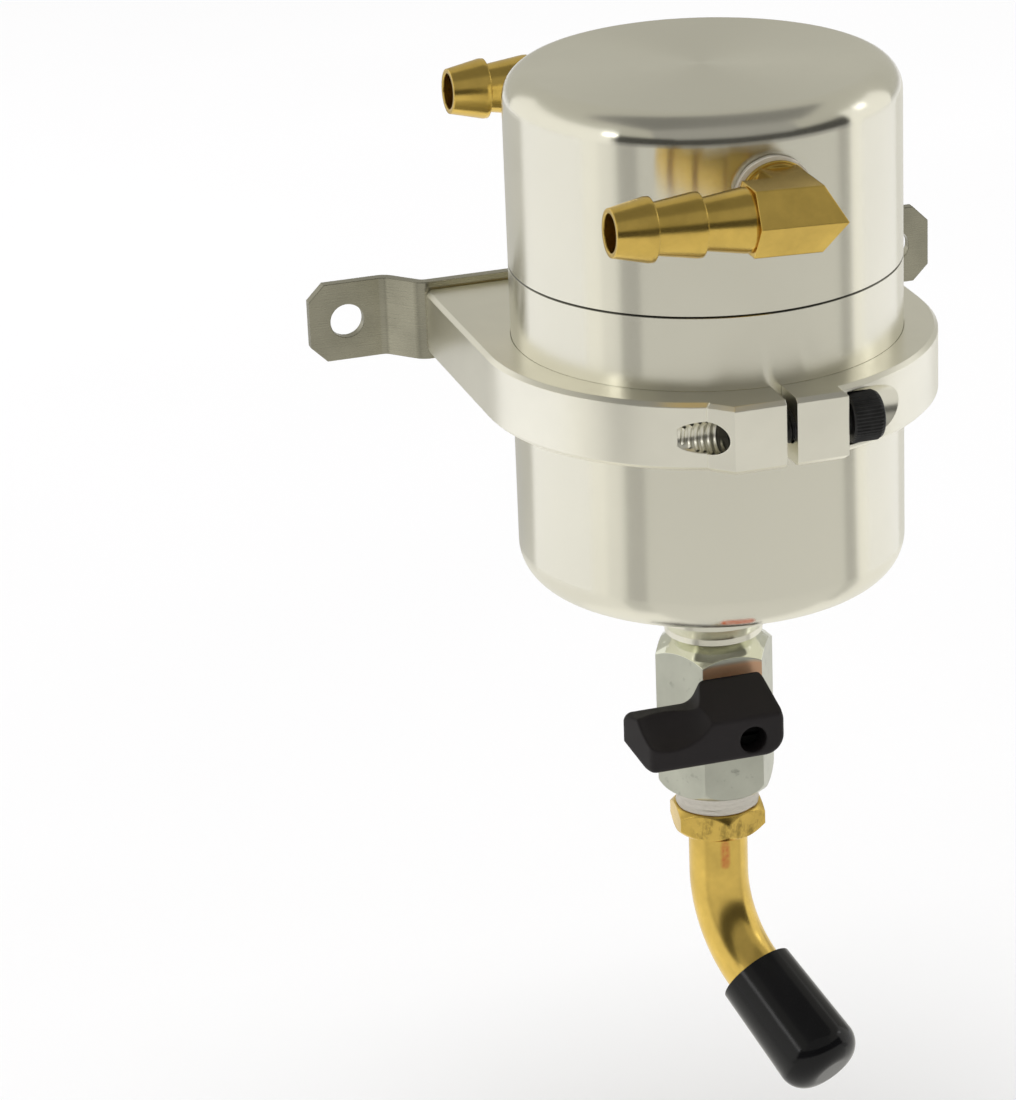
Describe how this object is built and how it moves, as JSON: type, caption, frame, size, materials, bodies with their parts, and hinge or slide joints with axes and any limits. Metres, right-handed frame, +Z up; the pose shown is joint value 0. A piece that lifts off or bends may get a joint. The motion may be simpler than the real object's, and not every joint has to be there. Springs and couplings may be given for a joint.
{
  "type": "oil catch can",
  "caption": "Clamp-mounted oil catch can with a screw-on lid, hose-barb elbows, a drilled baffle, a lever drain valve and a capped bent spout",
  "frame": {"origin": "midway between the two strap holes, on the rear faces of the strap's ears", "axes": "X runs along the strap, +Y points into the surface it is fixed to, +Z is up along the can"},
  "size_m": [0.134, 0.1156, 0.2096],
  "materials": {
    "aluminium": "polished turned aluminium",
    "clamp_aluminium": "machined aluminium",
    "black_steel": "black oxide steel",
    "strap_steel": "dull rolled stainless steel",
    "valve_plating": "satin greenish-grey plating",
    "chrome": "polished",
    "copper_brass": "turned copper-coloured alloy",
    "brass": "machined brass",
    "white_tape": "wound thread tape",
    "white_seat": "moulded seat",
    "black_rubber": "moulded seal",
    "black_vinyl": "glossy dipped vinyl",
    "black_plastic": "moulded plastic"
  },
  "bodies": {
    "bracket": {"clamp_ring": "clamp_aluminium", "clamp_screw": "black_steel", "mounting_strap": "strap_steel", "strap_screw_left": "black_steel", "strap_screw_right": "black_steel"},
    "can": {"can_body": "aluminium", "drain_nipple": "brass", "valve_thread_tape": "white_tape", "valve_body": "valve_plating", "upper_ball_seat": "white_seat", "lower_ball_seat": "white_seat", "valve_retainer": "brass", "stem_gland": "copper_brass", "drain_thread_tape": "white_tape", "drain_elbow": "brass"},
    "lid_seal": {"lid_o_ring": "black_rubber"},
    "lid_group": {"lid": "aluminium", "inlet_tube": "clamp_aluminium", "baffle_plate": "clamp_aluminium", "baffle_ring": "strap_steel", "front_elbow": "brass", "rear_elbow": "brass", "front_thread_tape": "white_tape", "rear_thread_tape": "white_tape"},
    "lever": {"valve_lever": "black_plastic", "valve_stem": "strap_steel", "valve_ball": "chrome", "lever_screw": "strap_steel"},
    "cap": {"drain_cap": "black_vinyl"}
  },
  "joints": [
    {"name": "can_turn", "type": "hinge", "parent": "bracket", "child": "can", "pos_m": [0, -0.0518, 0], "axis": [0, 0, 1], "continuous": true},
    {"name": "lid_turn", "type": "hinge", "parent": "can", "child": "lid_seal", "pos_m": [0, -0.0518, 0.0211], "axis": [0, 0, 1], "range_deg": [0, 1440]},
    {"name": "lid_rise", "type": "slide", "parent": "lid_seal", "child": "lid_group", "axis": [0, 0, 1], "range_m": [0, 0.008]},
    {"name": "lever_turn", "type": "hinge", "parent": "can", "child": "lever", "pos_m": [0, -0.0518, -0.0724], "axis": [0, -1, 0], "range_deg": [0, 90]},
    {"name": "cap_pull", "type": "slide", "parent": "can", "child": "cap", "axis": [0.3239, -0.7631, -0.5592], "range_m": [0, 0.024]}
  ],
  "couplings": [
    {"joint": "lid_rise", "follows": "lid_turn", "m_per_rad": 0.00031831}
  ]
}
